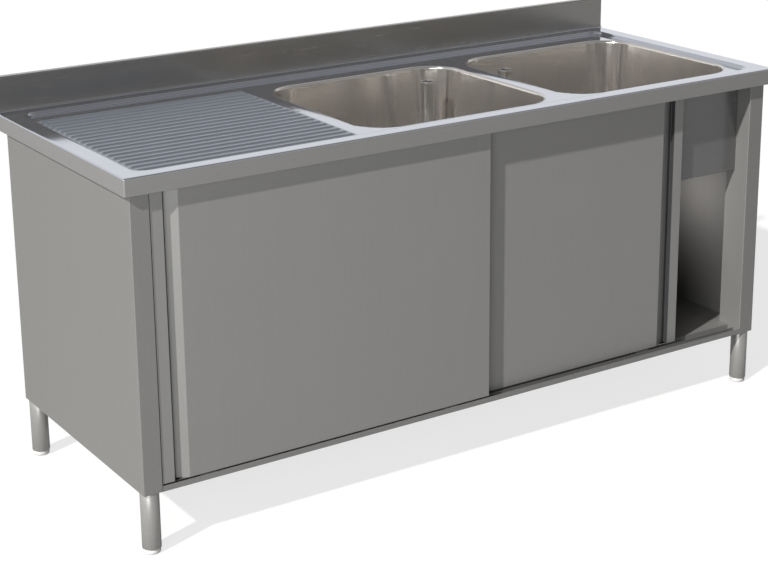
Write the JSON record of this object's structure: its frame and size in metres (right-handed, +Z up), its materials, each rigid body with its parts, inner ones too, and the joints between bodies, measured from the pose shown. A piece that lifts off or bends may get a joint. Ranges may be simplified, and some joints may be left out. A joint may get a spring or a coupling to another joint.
{
  "type": "kitchen sink unit",
  "caption": "Free-standing steel sink cabinet with a ribbed drainer on the left, two deep bowls, a low splashback, sliding doors and round legs on screw feet.",
  "frame": {"origin": "on the floor, under the centre of the worktop's rectangle", "axes": "+X along the front from left to right, +Y from the front to the wall side, +Z up"},
  "size_m": [1.8, 0.7, 0.935],
  "materials": {
    "worktop_steel": "satin brushed stainless sheet, brushed along the length",
    "bowl_steel": "pressed stainless sheet, semi-bright",
    "fitting_steel": "polished stainless",
    "cabinet_steel": "satin brushed stainless sheet",
    "door_steel": "satin brushed stainless sheet, brushed upright",
    "frame_steel": "plain mill-finish stainless",
    "leg_steel": "satin stainless tube",
    "white_plastic": "moulded nylon, slightly glossy",
    "grey_plastic": "moulded, matt",
    "rubber": "soft black",
    "board": "pressed chipboard, raw"
  },
  "bodies": {
    "cabinet": {"worktop": "worktop_steel", "left_bowl": "bowl_steel", "right_bowl": "bowl_steel", "left_waste_body": "fitting_steel", "right_waste_body": "fitting_steel", "left_waste_gasket": "rubber", "right_waste_gasket": "rubber", "left_waste_nut": "grey_plastic", "right_waste_nut": "grey_plastic", "drainer_board": "board", "drainer_stiffener_1": "frame_steel", "drainer_stiffener_2": "frame_steel", "rear_rail": "frame_steel", "bowl_apron": "cabinet_steel", "left_side_panel": "cabinet_steel", "right_side_panel": "cabinet_steel", "back_panel": "cabinet_steel", "bottom_shelf": "cabinet_steel", "shelf_stiffener": "frame_steel", "front_left_post": "frame_steel", "front_right_post": "frame_steel", "rear_left_post": "frame_steel", "rear_right_post": "frame_steel", "front_left_leg_socket": "frame_steel", "front_right_leg_socket": "frame_steel", "rear_left_leg_socket": "frame_steel", "rear_right_leg_socket": "frame_steel", "front_left_leg": "leg_steel", "front_right_leg": "leg_steel", "rear_left_leg": "leg_steel", "rear_right_leg": "leg_steel", "front_left_leg_insert": "grey_plastic", "front_right_leg_insert": "grey_plastic", "rear_left_leg_insert": "grey_plastic", "rear_right_leg_insert": "grey_plastic", "upper_track": "frame_steel", "lower_guide": "frame_steel"},
    "left_door": {"left_door_front_skin": "door_steel", "left_door_back_skin": "door_steel", "left_door_outer_hanger": "frame_steel", "left_door_inner_hanger": "frame_steel", "left_door_outer_guide_shoe": "white_plastic", "left_door_inner_guide_shoe": "white_plastic"},
    "right_door": {"right_door_front_skin": "door_steel", "right_door_back_skin": "door_steel", "right_door_outer_hanger": "frame_steel", "right_door_inner_hanger": "frame_steel", "right_door_outer_guide_shoe": "white_plastic", "right_door_inner_guide_shoe": "white_plastic"},
    "left_door_outer_wheelset": {"left_door_outer_wheels": "white_plastic"},
    "left_door_inner_wheelset": {"left_door_inner_wheels": "white_plastic"},
    "right_door_outer_wheelset": {"right_door_outer_wheels": "white_plastic"},
    "right_door_inner_wheelset": {"right_door_inner_wheels": "white_plastic"},
    "left_overflow": {"left_standpipe": "fitting_steel"},
    "right_overflow": {"right_standpipe": "fitting_steel"},
    "front_left_foot_body": {"front_left_foot": "white_plastic"},
    "front_right_foot_body": {"front_right_foot": "white_plastic"},
    "rear_left_foot_body": {"rear_left_foot": "white_plastic"},
    "rear_right_foot_body": {"rear_right_foot": "white_plastic"}
  },
  "joints": [
    {"name": "left_door_slide", "type": "slide", "parent": "cabinet", "child": "left_door", "axis": [1, 0, 0], "range_m": [0, 0.81]},
    {"name": "right_door_slide", "type": "slide", "parent": "cabinet", "child": "right_door", "axis": [1, 0, 0], "range_m": [-0.609, 0.201]},
    {"name": "left_door_outer_wheel_turn", "type": "hinge", "parent": "left_door", "child": "left_door_outer_wheelset", "pos_m": [-0.726, -0.32175, 0.8215], "axis": [0, 1, 0], "continuous": true},
    {"name": "left_door_inner_wheel_turn", "type": "hinge", "parent": "left_door", "child": "left_door_inner_wheelset", "pos_m": [-0.084, -0.32175, 0.8215], "axis": [0, 1, 0], "continuous": true},
    {"name": "right_door_outer_wheel_turn", "type": "hinge", "parent": "right_door", "child": "right_door_outer_wheelset", "pos_m": [0.525, -0.30075, 0.8215], "axis": [0, 1, 0], "continuous": true},
    {"name": "right_door_inner_wheel_turn", "type": "hinge", "parent": "right_door", "child": "right_door_inner_wheelset", "pos_m": [-0.117, -0.30075, 0.8215], "axis": [0, 1, 0], "continuous": true},
    {"name": "left_standpipe_lift", "type": "slide", "parent": "cabinet", "child": "left_overflow", "axis": [0, 0, 1], "range_m": [0, 0.3]},
    {"name": "right_standpipe_lift", "type": "slide", "parent": "cabinet", "child": "right_overflow", "axis": [0, 0, 1], "range_m": [0, 0.3]},
    {"name": "front_left_foot_height", "type": "slide", "parent": "cabinet", "child": "front_left_foot_body", "axis": [0, 0, -1], "range_m": [0, 0.03]},
    {"name": "front_right_foot_height", "type": "slide", "parent": "cabinet", "child": "front_right_foot_body", "axis": [0, 0, -1], "range_m": [0, 0.03]},
    {"name": "rear_left_foot_height", "type": "slide", "parent": "cabinet", "child": "rear_left_foot_body", "axis": [0, 0, -1], "range_m": [0, 0.03]},
    {"name": "rear_right_foot_height", "type": "slide", "parent": "cabinet", "child": "rear_right_foot_body", "axis": [0, 0, -1], "range_m": [0, 0.03]}
  ],
  "couplings": [
    {"joint": "left_door_outer_wheel_turn", "follows": "left_door_slide", "rad_per_m": 125},
    {"joint": "left_door_inner_wheel_turn", "follows": "left_door_slide", "rad_per_m": 125},
    {"joint": "right_door_outer_wheel_turn", "follows": "right_door_slide", "rad_per_m": 125},
    {"joint": "right_door_inner_wheel_turn", "follows": "right_door_slide", "rad_per_m": 125}
  ]
}
